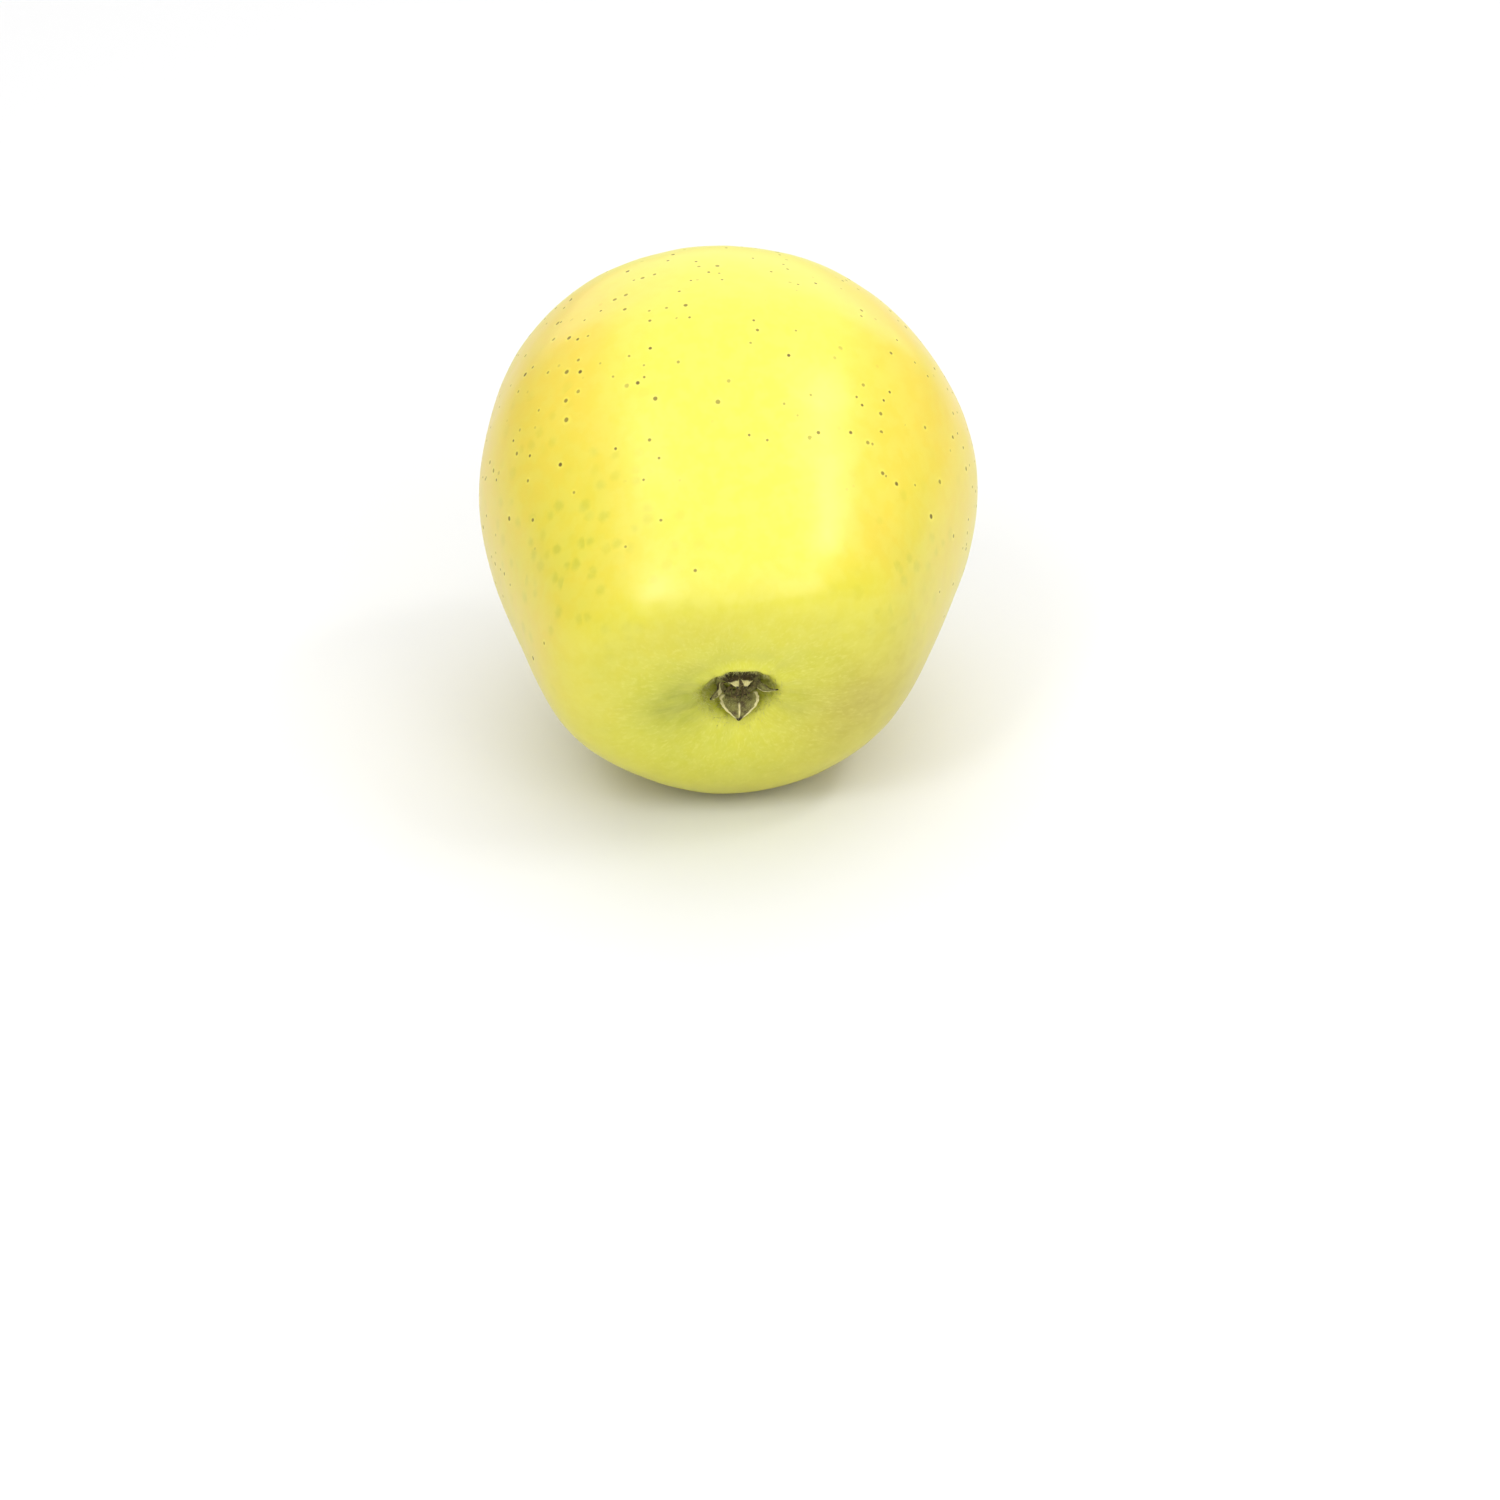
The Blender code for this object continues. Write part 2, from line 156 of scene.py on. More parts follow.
# How pale each sepal is: along its lower-angle edge, its upper-angle edge and its rib, at its foot and at its
# tip, and how much of that shows on its outside.
SEPAL_PALE = [
    (1.0, 1.0, 0.7, 0.0, 0.2, 0.4),
    (1.0, 0.1, 0.2, 0.2, 0.0, 0.5),
    (0.3, 0.3, 0.0, 0.0, 1.0, 1.0),
    (0.3, 0.3, 0.0, 0.0, 1.0, 1.0),
    (0.1, 0.7, 0.2, 1.0, 0.0, 0.3),
]

# The heap that the stamens grow from.
TUFT_RADIUS = 1.45
TUFT_HEIGHT = 1.0
TUFT_FOOT = 0.5
TUFT_ROUGHNESS = 0.10
TUFT_RINGS = 10
TUFT_SEGMENTS = 40

# The stamens and the down: how many on a square metre, how long in metres, and how far they lean.
STAMENS = {"Density": 3.4e6, "Shortest": 0.0010, "Longest": 0.0018, "Lean": 0.35, "Seed": 5}
EYE_DOWN = {"Density": 9.0e6, "Shortest": 0.0004, "Longest": 0.0009, "Lean": 0.9, "Seed": 3}
LEAF_DOWN = {"Density": 1.4e7, "Shortest": 0.0002, "Longest": 0.0005, "Lean": 1.1}
LEAF_DOWN_SEED = 20

# The stalk.
STALK_PATH = [(1.9, 0.0, -20.4), (2.0, 0.5, -26.0), (2.5, 1.7, -32.0), (3.6, 3.4, -37.6), (4.4, 4.4, -40.2)]
STALK_RADIUS = 1.15
STALK_FOOT_FLARE = 0.35
STALK_FLARE_LENGTH = 0.12
STALK_KNOB = 0.75
STALK_KNOB_AT = 0.97
STALK_KNOB_LENGTH = 0.10
STALK_RIDGE = 0.09
STALK_KNOT = 0.05
STALK_END_CROWN = 0.15
STALK_SIDES = 96
STALK_ROWS = 220

# The camera, from the photograph's framing: how high it looks from, how far off it is, its lens, and how far
# right of and above the middle of the view the core's origin lies.
CAMERA_ELEVATION = math.radians(30.0)
CAMERA_DISTANCE = 650.0
CAMERA_LENS = 102.96
SENSOR_WIDTH = 36.0
CORE_RIGHT = -5.17
CORE_UP = 37.33

# The studio.
FLOOR_SIZE = 6.0
FLOOR_SHADE = (0.78, 0.78, 0.78)
FLOOR_LIGHT = (0.82, 0.82, 0.82)
WORLD_LIGHT = 0.30

# The light panels: name, radiance, place, target, turn about its own axis in degrees, width and depth, in
# metres.
PANELS = [
    ("overhead_panel", 1.17, (0.11, 0.00, 1.00), (0.11, 0.0, 0.0), 0.0, 1.64, 2.80),
    ("right_strip", 10.0, (0.66, -0.10, 0.98), (0.66, -0.10, 0.0), -38.0, 0.16, 0.40),
    ("front_right_panel", 2.2, (0.78, -1.20, 0.90), (0.0, 0.0, 0.04), 0.0, 0.60, 0.90),
    ("front_left_strip", 7.6, (-0.54, -0.85, 0.98), (-0.54, -0.85, 0.0), -32.0, 0.26, 0.82),
    ("front_panel", 1.12, (0.10, -1.45, 0.65), (0.10, 0.0, 0.65), 0.0, 2.00, 0.72),
    ("back_panel", 1.1, (0.0, 1.70, 0.65), (0.0, 0.0, 0.65), 0.0, 2.60, 0.90),
]


def smooth_line(points, count):
    """A natural cubic spline through the points, knotted by the square root of their spacing."""
    points = np.asarray(points, float)
    knots = np.concatenate([[0.0], np.cumsum(np.sqrt(np.linalg.norm(np.diff(points, axis=0), axis=1)))])
    gap = np.diff(knots)
    last = len(points) - 1
    system = np.eye(last + 1)
    rate = np.zeros_like(points)
    for i in range(1, last):
        system[i, i - 1 : i + 2] = gap[i - 1], 2 * (gap[i - 1] + gap[i]), gap[i]
        rate[i] = 6 * ((points[i + 1] - points[i]) / gap[i] - (points[i] - points[i - 1]) / gap[i - 1])
    bend = np.linalg.solve(system, rate)
    at = np.linspace(0.0, knots[-1], count)
    k = np.clip(np.searchsorted(knots, at, side="right") - 1, 0, last - 1)
    left = (at - knots[k])[:, None]
    right = (knots[k + 1] - at)[:, None]
    span = gap[k][:, None]
    curve = (bend[k] * right**3 + bend[k + 1] * left**3) / (6 * span)
    curve += (points[k] / span - bend[k] * span / 6) * right
    curve += (points[k + 1] / span - bend[k + 1] * span / 6) * left
    return curve


def angle_apart(angle, other):
    return (angle - other + np.pi) % (2 * np.pi) - np.pi


def ramp(value, low, high):
    """0 at low and 1 at high, with soft ends."""
    share = np.clip((value - low) / (high - low), 0, 1)
    return share * share * (3 - 2 * share)


def hump(away, width):
    """1 in the middle of a soft hump, fading over its width."""
    return np.exp(-((away / width) ** 2))


def lobe_field(angle):
    """The five ribs of the crown: positive on a rib, negative in a valley."""
    field = hump(angle_apart(angle[..., None], LOBES_AT), LOBE_HALF_WIDTH).sum(-1)
    return field - field.mean()


def swell(fullness, angle, sides):
    amount, fullest = fullness
    return amount * np.cos(sides * (angle - fullest))


def fruit_surface(rings, segments):
    """The skin in the core frame, in millimetres, with the radius, height and angle of each point."""
    outline = smooth_line(EYE_PIT + CROWN + CHEEK + SHOULDER + STALK_CAVITY, rings)
    radius = outline[:, 0][:, None]
    height = outline[:, 1][:, None]
    angle = np.linspace(0.0, 2 * np.pi, segments, endpoint=False)[None, :]
    lobe = lobe_field(angle)
    out = np.clip(radius / GIRTH_RADIUS, 0, 1)
    crown = np.clip(height / CROWN_FULL_HEIGHT, 0, 1) ** 2
    back = np.clip(-height / BACK_FULL_HEIGHT, 0, 1) ** 2
    fullness = swell(GIRTH_OVAL, angle, 2) + swell(GIRTH_THREE_SIDED, angle, 3)
    fullness = fullness + crown * (swell(CROWN_OVAL, angle, 2) + swell(CROWN_THREE_SIDED, angle, 3))
    flank = hump(angle_apart(angle, FLANK_AT), FLANK_SPREAD)
    flat = FLANK_FLAT * flank * ramp(height, *FLANK_HEIGHTS) * ramp(radius, *FLANK_RADII)
    reach = radius * (1 + out**2 * fullness + LOBE_SWELL * crown * out * lobe - flat)
    along = height / HALF_HEIGHT
    x = reach * np.cos(angle) + CORE_BOW * (1 - along**2) + CORE_LEAN * along
    y = reach * np.sin(angle)
    ring = hump(radius - RING_RADIUS, RING_WIDTH)
    rise = CROWN_SLOPE_X * x + CROWN_SLOPE_Y * y + LOBE_RISE * ring * lobe
    rise = rise + FLANK_RISE * flank * hump(radius - FLANK_RISE_RADIUS, FLANK_RISE_WIDTH)
    lip = hump(radius - LIP_RADIUS, LIP_WIDTH) * hump(angle_apart(angle, FLANK_AT), LIP_SPREAD)
    rise = rise + LIP_RISE * lip
    z = height + crown * rise - back * BACK_RIPPLE * ring * np.cos(5 * angle + BACK_RIPPLE_AT)
    shape = np.broadcast(radius, angle).shape
    places = [np.broadcast_to(field, shape) for field in (radius, height, angle)]
    return np.stack([x, y, z], -1), places


def core_matrix():
    """Where the core frame lies in the world, in metres."""
    roll = Matrix.Rotation(CORE_ROLL, 3, "Z")
    tip = Matrix.Rotation(math.pi / 2 + CORE_DIP, 3, "X")
    turn = Matrix.Rotation(CORE_TURN, 3, "Z")
    rotation = turn @ tip @ roll
    surface = fruit_surface(REST_RINGS, REST_SEGMENTS)[0].reshape(-1, 3)
    turned = surface @ np.array(rotation).T
    floor = turned[:, 2].min() + FLAT_SPOT_DEPTH
    spot = turned[turned[:, 2] < floor]
    middle = (spot.min(0) + spot.max(0)) / 2
    place = Vector((-middle[0], -middle[1], -floor)) * MM
    return Matrix.Translation(place) @ rotation.to_4x4()


CORE = core_matrix()
EYE = CORE @ Matrix.Translation(Vector(EYE_AT) * MM) @ Euler(EYE_TURN).to_matrix().to_4x4()


def to_world(points, place):
    """Millimetres in a local frame to metres in the world."""
    turned = np.asarray(points, float).reshape(-1, 3) * MM @ np.array(place.to_3x3()).T
    return turned + np.array(place.translation)


def build_piece(name, points, faces, fields=None):
    """A named, smooth mesh object at the origin, with its point attributes."""
    mesh = bpy.data.meshes.new(name)
    mesh.from_pydata([tuple(p) for p in points], [], faces)
    mesh.update()
    mesh.shade_smooth()
    for field, values in (fields or {}).items():
        values = np.asarray(values, np.float32)
        kind = "FLOAT" if values.ndim == 1 else "FLOAT_VECTOR"
        slot = mesh.attributes.new(field, kind, "POINT")
        slot.data.foreach_set("value" if kind == "FLOAT" else "vector", values.ravel())
    item = bpy.data.objects.new(name, mesh)
    bpy.context.scene.collection.objects.link(item)
    return item


def ring_faces(rings, segments, first=0):
    """Quads between rings of points that are numbered ring by ring, with the outward side first."""
    faces = []
    for ring in range(rings - 1):
        for i in range(segments):
            j = (i + 1) % segments
            a = first + ring * segments
            faces.append((a + i, a + segments + i, a + segments + j, a + j))
    return faces


def fan_faces(start, segments, tip, flip=False):
    faces = []
    for i in range(segments):
        j = (i + 1) % segments
        corner = (start + i, start + j, tip)
        faces.append(corner[::-1] if flip else corner)
    return faces


class Field:
    """A number or colour that varies over a surface: one output socket of a material's nodes."""

    def __init__(self, finish, socket):
        self.finish = finish
        self.socket = socket

    def math(self, operation, *others):
        return self.finish.node("ShaderNodeMath", {"operation": operation}, [self, *others])

    def __add__(self, other):
        return self.math("ADD", other)

    def __radd__(self, other):
        return self.math("ADD", other)

    def __sub__(self, other):
        return self.math("SUBTRACT", other)

    def __rsub__(self, other):
        return (self * -1.0).math("ADD", other)

    def __mul__(self, other):
        return self.math("MULTIPLY", other)

    def __rmul__(self, other):
        return self.math("MULTIPLY", other)

    def __pow__(self, other):
        return self.math("POWER", other)

    def clamp(self):
        return self.math("MAXIMUM", 0.0).math("MINIMUM", 1.0)

    def between(self, low, high):
        """0 at low and 1 at high, whichever is the larger, with soft ends."""
        settings = {"interpolation_type": "SMOOTHSTEP", "clamp": True}
        inputs = {"Value": self, "From Min": low, "From Max": high}
        return self.finish.node("ShaderNodeMapRange", settings, inputs)


class Finish:
    """A material in the making. Its surface is one Principled shader."""

    def __init__(self, name, roughness, **constants):
        self.material = bpy.data.materials.new(name)
        self.material.use_nodes = True
        self.tree = self.material.node_tree
        self.shader = self.tree.nodes["Principled BSDF"]
        self.shader.inputs["Roughness"].default_value = roughness
        for socket, value in constants.items():
            self.shader.inputs[socket.replace("_", " ")].default_value = value
        self.place = Field(self, self.tree.nodes.new("ShaderNodeTexCoord").outputs["Object"])

    def node(self, kind, settings, inputs, output=0):
        """Add a node, apply its settings, then set or link its inputs by name or by order."""
        made = self.tree.nodes.new(kind)
        for name, value in settings.items():
            setattr(made, name, value)
        pairs = inputs.items() if isinstance(inputs, dict) else enumerate(inputs)
        for key, value in pairs:
            if isinstance(value, Field):
                self.tree.links.new(value.socket, made.inputs[key])
            else:
                made.inputs[key].default_value = value
        return Field(self, made.outputs[output])

    def field(self, name, output="Fac"):
        return self.node("ShaderNodeAttribute", {"attribute_name": name}, {}, output)

    def noise(self, scale, detail=3.0, place=None, roughness=0.55, output="Fac"):
        inputs = {"Vector": place or self.place, "Scale": scale, "Detail": detail, "Roughness": roughness}
        return self.node("ShaderNodeTexNoise", {}, inputs, output)

    def cells(self, scale, output, place=None):
        inputs = {"Vector": place or self.place, "Scale": scale}
        return self.node("ShaderNodeTexVoronoi", {"feature": "F1"}, inputs, output)

    def vector(self, operation, *inputs, output="Vector"):
        return self.node("ShaderNodeVectorMath", {"operation": operation}, inputs, output)

    def part(self, colour, channel):
        """One channel of a colour, as a number."""
        return self.node("ShaderNodeSeparateColor", {}, [colour], channel)

    def blend(self, mask, under, over):
        """A colour that is under where the mask is 0 and over where it is 1."""
        made = self.tree.nodes.new("ShaderNodeMix")
        made.data_type = "RGBA"
        sockets = [s for s in made.inputs if s.enabled and s.type == "RGBA"]
        self.tree.links.new(mask.socket, made.inputs[0])
        for socket, value in zip(sockets, (under, over)):
            if isinstance(value, Field):
                self.tree.links.new(value.socket, socket)
            else:
                socket.default_value = (*value, 1.0)
        return Field(self, next(s for s in made.outputs if s.enabled and s.type == "RGBA"))

    def bump(self, height, distance, strength):
        inputs = {"Height": height, "Distance": distance, "Strength": strength}
        return self.node("ShaderNodeBump", {}, inputs)

    def surface(self, **links):
        """Link fields to the shader's sockets, and return the finished material."""
        for socket, field in links.items():
            self.tree.links.new(field.socket, self.shader.inputs[socket.replace("_", " ")])
        return self.material


# Colours as linear RGB.
LEMON = (0.770, 0.715, 0.056)
AMBER = (0.850, 0.635, 0.075)
LIME = (0.640, 0.630, 0.042)
# Painted shade: the dark olive laid on the skin beside and below the eye and on the lower crown.
PAINTED_SHADE_GREEN = (0.330, 0.360, 0.018)
# Painted shade with a brownish tint, laid on the crown's right and upper shoulder.
TAN_SHADE = (0.480, 0.400, 0.045)
GREEN_SPOT = (0.560, 0.530, 0.045)
PALE_FLECK = (0.840, 0.810, 0.200)
SPOT_DARK = (0.130, 0.085, 0.010)
SPOT_HALO = (0.900, 0.810, 0.130)
RUSSET = (0.330, 0.190, 0.050)


# Soft patches on the skin: how strong each is, the angle and the height or radius of its middle, and how far
# it spreads round and along the core, in degrees and millimetres. The first two go by height, the others by
# radius on the crown.
AMBER_PATCHES = [(0.60, 122, -12, 26, 13)]
MOTTLE_PATCHES = [(1.1, 140, 25, 30, 17), (0.8, 25, 30, 26, 13), (0.6, 230, 20, 50, 20)]
# Painted shade beside the eye and on the lower crown, where less light falls.
SHADE_PATCHES = [(1.40, 180, 8.0, 48, 5.5), (0.55, 342, 8.0, 28, 4.0), (0.46, 270, 22, 65, 11)]
# Painted shade with a brownish tint on the crown's right and upper shoulder.
TAN_SHADE_PATCHES = [(0.80, 345, 20, 40, 11), (0.32, 115, 20, 60, 7)]

# The bands along the core where the crown turns green, the stalk cavity turns russet, painted shade darkens
# the eye's basin, hairs grow, the down shows, and the dark spots fade out.
CROWN_RADII = (-33.0, -10.0)
CROWN_HEIGHTS = (22.0, 38.0)
CAVITY_RADII = (-20.0, -7.0)
PIT_SHADE_RADII = (-7.0, -4.2)
HAIR_RADII = (-7.5, -4.6)
DOWN_RADII = (-27.0, -11.0)
SPOT_HEIGHTS = (-28.0, -8.0)
LAST_SPOT_HEIGHTS = (-38.0, -34.0)


def patch(angle, other, at_angle, at_other, angle_width, other_width):
    """A soft patch on the skin: 1 at its middle, fading over its widths in degrees and millimetres."""
    across = angle_apart(angle, math.radians(at_angle)) / math.radians(angle_width)
    down = (other - at_other) / other_width
    return np.exp(-(across**2 + down**2))


def patches(table, angle, other):
    return sum(strength * patch(angle, other, *where) for strength, *where in table)


def skin_fields(places):
    """Where the skin turns amber, green, downy or spotted, and where shade is painted, worked out from
    radius, height and angle.
    """
    radius, height, angle = places
    front = height > 0
    turn = np.degrees(angle_apart(angle, math.pi / 2))
    amber = ramp(turn, 20, 42) + 0.85 * ramp(turn, -14, -46)
    amber = amber * (1 - 0.5 * ramp(np.abs(turn), 70, 120)) * (1 - 0.65 * ramp(height, 29, 40))
    amber = amber * ramp(height, -30, -8) + patches(AMBER_PATCHES, angle, height)
    crown = np.where(front, ramp(-radius, *CROWN_RADII), 0.0) * ramp(height, *CROWN_HEIGHTS)
    cavity = np.where(front, 0.0, ramp(-radius, *CAVITY_RADII))
    mottle = patches(MOTTLE_PATCHES, angle, height)
    # Painted shade: darker beside and below the eye, in its pit and on the lower crown.
    shade = patches(SHADE_PATCHES, angle, radius) + 0.9 * ramp(-radius, *PIT_SHADE_RADII)
    shade = np.where(front, shade, 0.0)
    # Painted shade with a brownish tint on the crown.
    tan = np.where(front, patches(TAN_SHADE_PATCHES, angle, radius), 0.0)
    pit = np.where(front, ramp(-radius, *HAIR_RADII), 0.0)
    # The down shows less where shade is painted.
    down = np.where(front, ramp(-radius, *DOWN_RADII), 0.0) * (1 - 0.6 * np.clip(shade, 0, 1))
    dots = 0.35 * ramp(-height, *SPOT_HEIGHTS) + 0.03 * ramp(-height, *LAST_SPOT_HEIGHTS)
    spoke = np.stack([np.cos(angle), np.sin(angle), 0.035 * radius * np.where(front, 1, -1)], -1)
    fields = {"amber": amber, "crown": crown, "cavity": cavity, "mottle": mottle, "shade": shade, "tan": tan,
              "pit": pit, "down": down, "dots": dots}
    fields = {name: np.broadcast_to(values, radius.shape).ravel() for name, values in fields.items()}
    return {**fields, "spoke": spoke.reshape(-1, 3)}


def outward(points):
    """The outward normals of a closed grid of rings."""
    around = np.roll(points, -1, 1) - np.roll(points, 1, 1)
    along = np.gradient(points, axis=0)
    normal = np.cross(around, along)
    return normal / np.maximum(np.linalg.norm(normal, axis=-1, keepdims=True), 1e-9)


def make_skin():
    """The skin, with puckers round the eye and the slight unevenness of a real fruit."""
    points, places = fruit_surface(SKIN_RINGS, SKIN_SEGMENTS)
    radius, height, angle = places
    normal = outward(points)
    near_eye = np.where(height > 0, np.exp(-(((radius - PUCKER_RADIUS) / PUCKER_WIDTH) ** 2)), 0.0)
    pucker = 0.0
    for count in PUCKER_RIPPLES:
        pucker = pucker + np.cos(count * angle + 1.7 * count) / (1 + abs(count - PUCKER_MAIN_RIPPLE) / 4)
    relief = PUCKER_DEPTH * near_eye * pucker * ramp(radius, *PUCKER_FROM)
    for ring in range(1, SKIN_RINGS - 1):
        for i in range(SKIN_SEGMENTS):
            at = Vector(points[ring, i]) / DENT_SIZE
            small = SMALL_DENT_SHARE * noise.noise(at * SMALL_DENTS)
            relief[ring, i] += DENT_DEPTH * (noise.noise(at) + small)
    points = points + normal * relief[..., None]
    points[0] = points[0].mean(0)
    points[-1] = points[-1].mean(0)
    world = to_world(points[1:-1], CORE)
    world[:, 2] = np.maximum(world[:, 2], 0.0)
    poles = to_world([points[0, 0], points[-1, 0]], CORE)
    count = (SKIN_RINGS - 2) * SKIN_SEGMENTS
    faces = ring_faces(SKIN_RINGS - 2, SKIN_SEGMENTS)
    faces += fan_faces(0, SKIN_SEGMENTS, count)
    faces += fan_faces(count - SKIN_SEGMENTS, SKIN_SEGMENTS, count + 1, flip=True)
    fields = skin_fields([field[1:-1] for field in places])
    facing = normal[1:-1].reshape(-1, 3) @ np.array(CORE.to_3x3()).T
    fields["outward"] = facing
    for name, values in fields.items():
        ends = np.stack([values[:SKIN_SEGMENTS].mean(0), values[-SKIN_SEGMENTS:].mean(0)])
        fields[name] = np.concatenate([values, ends])
    return build_piece("apple_skin_surface", np.concatenate([world, poles]), faces, fields)


def strew_dots(finish, spacing, depth):
    """Round dots strewn over a surface, one for each cell of space that the surface cuts near its middle.

    Returns how far each place is from its dot's middle, along the surface and in metres, whether the cell has
    a dot, and the cell's random colour.
    """
    scale = 1.0 / spacing
    middle = finish.cells(scale, "Position")
    offset = finish.vector("SUBTRACT", finish.place, middle)
    sunk = finish.vector("DOT_PRODUCT", offset, finish.field("outward", "Vector"), output="Value")
    across = finish.vector("DOT_PRODUCT", offset, offset, output="Value") - sunk * sunk
    near = sunk.math("ABSOLUTE").between(depth, 0.6 * depth)
    return across.math("MAXIMUM", 0.0).math("SQRT"), near, finish.cells(scale, "Color")


# How coarse the skin's patterns are, in waves to the metre.
CLOUDS = 48.0
PATCHES = 130.0
GRAINS = 420.0
FLECKS = 1300.0
STREAKS = 9.0
FINE_STREAKS = 30.0

# The soft green dots under the skin and the dark spots in it: how far apart their cells lie, and how near the
# skin has to pass for a cell to have one. In metres.
GREEN_DOT_SPACING = 0.0030
GREEN_DOT_DEPTH = 0.0014
GREEN_DOT_RADIUS = 0.0010
SPOT_SPACING = 0.0022
SPOT_DEPTH = 0.0008
SPOT_RADIUS = 0.00019
SPOT_GROWTH = 0.00017
SPOT_EDGE = 0.00010
SKIN_BUMP = 0.00004


def skin_finish():
    """Waxy yellow skin: amber on its flanks, greener at both ends, painted shade by the eye and on the crown,
    and spots under and in the skin.
    """
    wax = Finish("waxy_skin", 0.34, Coat_Weight=0.15, Coat_Roughness=0.24, Subsurface_Weight=0.10,
                 Subsurface_Scale=0.003, Subsurface_Radius=(1.0, 0.75, 0.15))
    cloud = wax.noise(CLOUDS, 3.0)
    patchy = wax.noise(PATCHES, 3.0)
    grain = wax.noise(GRAINS, 3.0)
    fleck = wax.noise(FLECKS, 2.0)
    streak = wax.noise(STREAKS, 4.0, wax.field("spoke", "Vector"))
    fine_streak = wax.noise(FINE_STREAKS, 3.0, wax.field("spoke", "Vector"))

    amber = (wax.field("amber") * (cloud * 0.8 + 0.6) + (cloud - 0.5) * 0.6 + (patchy - 0.5) * 0.5).clamp()
    colour = wax.blend(amber, LEMON, AMBER)
    green = wax.field("crown") * 0.75 + wax.field("cavity") * 0.9 + wax.field("mottle") * 0.40 + 0.13
    green = (green * (patchy * 1.1 + grain * 0.5 + 0.2)).clamp()
    colour = wax.blend(green, colour, LIME)
    # Painted shade with a brownish tint on the crown.
    colour = wax.blend((wax.field("tan") * (patchy * 0.8 + 0.6)).clamp(), colour, TAN_SHADE)
    # Painted shade beside the eye, in its pit and on the lower crown.
    shade = (wax.field("shade") * (streak * 0.7 + 0.4)).clamp() * 0.8
    colour = wax.blend(shade, colour, PAINTED_SHADE_GREEN)

    far, near, chance = strew_dots(wax, GREEN_DOT_SPACING, GREEN_DOT_DEPTH)
    far = far + (grain - 0.5) * 0.0016
    soft = (far - wax.part(chance, 0) * 0.0004).between(GREEN_DOT_RADIUS, 0.0)
    soft = soft * near * (wax.part(chance, 1) - wax.field("mottle") * 0.6).between(0.35, 0.05)
    colour = wax.blend((soft * (wax.field("mottle") * 0.56 + 0.06)).clamp(), colour, GREEN_SPOT)

    down = wax.field("down") * fine_streak.between(0.42, 0.70) * fleck.between(0.30, 0.70)
    colour = wax.blend((down * 0.38).clamp(), colour, PALE_FLECK)
    colour = wax.blend(grain.between(0.35, 0.65) * 0.13, colour, PALE_FLECK)

    far, near, chance = strew_dots(wax, SPOT_SPACING, SPOT_DEPTH)
    far = far + (fleck - 0.5) * 0.00016
    size = wax.part(chance, 0) ** 2.0 * SPOT_GROWTH + SPOT_RADIUS
    there = near * wax.part(chance, 1).math("LESS_THAN", wax.field("dots"))
    spot = (far - size).between(SPOT_EDGE, -SPOT_EDGE) * there
    halo = (far - size * 2.0).between(0.0003, -0.0002) * there
    colour = wax.blend(halo * 0.30, colour, SPOT_HALO)
    colour = wax.blend(spot * (wax.part(chance, 2) * 0.40 + 0.58), colour, SPOT_DARK)

    russet = (wax.field("cavity") ** 3.0 * streak.between(0.35, 0.62)).clamp() * 0.8
    colour = wax.blend(russet, colour, RUSSET)
    relief = grain - spot * 1.2
    rougher = wax.field("cavity") * 0.15 + wax.field("down") * 0.06 + spot * 0.35
    roughness = grain.between(0.25, 0.75) * 0.07 + 0.31 + rougher
    return wax.surface(Base_Color=colour, Roughness=roughness, Normal=wax.bump(relief, SKIN_BUMP, 0.6))


# Colours of the dried calyx and the stalk as linear RGB.
LEAF_OLIVE = (0.270, 0.260, 0.070)
LEAF_BROWN = (0.085, 0.058, 0.022)
LEAF_CREAM = (0.800, 0.730, 0.350)
LEAF_TIP = (0.030, 0.020, 0.008)
THREAD = (0.260, 0.200, 0.075)
THREAD_DARK = (0.050, 0.035, 0.012)
DOWN_OLIVE = (0.420, 0.410, 0.130)
DOWN_PALE = (0.680, 0.650, 0.270)
BARK = (0.095, 0.060, 0.026)
BARK_LIGHT = (0.230, 0.170, 0.080)
BARK_END = (0.130, 0.066, 0.030)
BARK_FOOT = (0.200, 0.200, 0.060)


def sepal_point(share, side, index, sizes):
    """A point of a sepal's middle sheet, in millimetres in the eye's frame."""
    angle, veer, length, width, belly, slope, tip_slope = sizes
    out = up = 0.0
    for k in range(SEPAL_STEPS):
        bend = math.radians(slope + (tip_slope - slope) * share * (k + 0.5) / SEPAL_STEPS)
        out += length * share / SEPAL_STEPS * math.cos(bend)
        up += length * share / SEPAL_STEPS * math.sin(bend)
    bend = math.radians(slope + (tip_slope - slope) * share)
    half = width / 2 * (1 + belly * share) * (1 - share) ** SEPAL_TAPER + SEPAL_TIP * share
    frayed = 1 + SEPAL_FRAY * noise.noise(Vector((9.0 * share, 3.0 * side, 5.0 * index)))
    wave = SEPAL_WAVE * math.sin(SEPAL_WAVES * share + 2 * index) * side
    curl = SEPAL_CURL * noise.noise(Vector((4.0 * share, 1.7 * side, 7.0 + index)))
    ribs = SEPAL_RIB * math.cos(SEPAL_RIB_WAVES * side) * (1 - share)
    lift = (SEPAL_CHANNEL * half * side**2 + wave + curl + ribs) * min(1.0, 3 * share)
    aside = side * half * frayed
    wrap = aside**2 / (2 * SEPAL_RING) * (1 - share) ** 2
    radius = SEPAL_RING + out - wrap - lift * math.sin(bend)
    turn = math.radians(angle + veer * share)
    outward = Vector((math.cos(turn), math.sin(turn), 0.0))
    sideways = Vector((-math.sin(turn), math.cos(turn), 0.0))
    return radius * outward + aside * sideways + Vector((0.0, 0.0, SEPAL_FOOT + up + lift * math.cos(bend)))


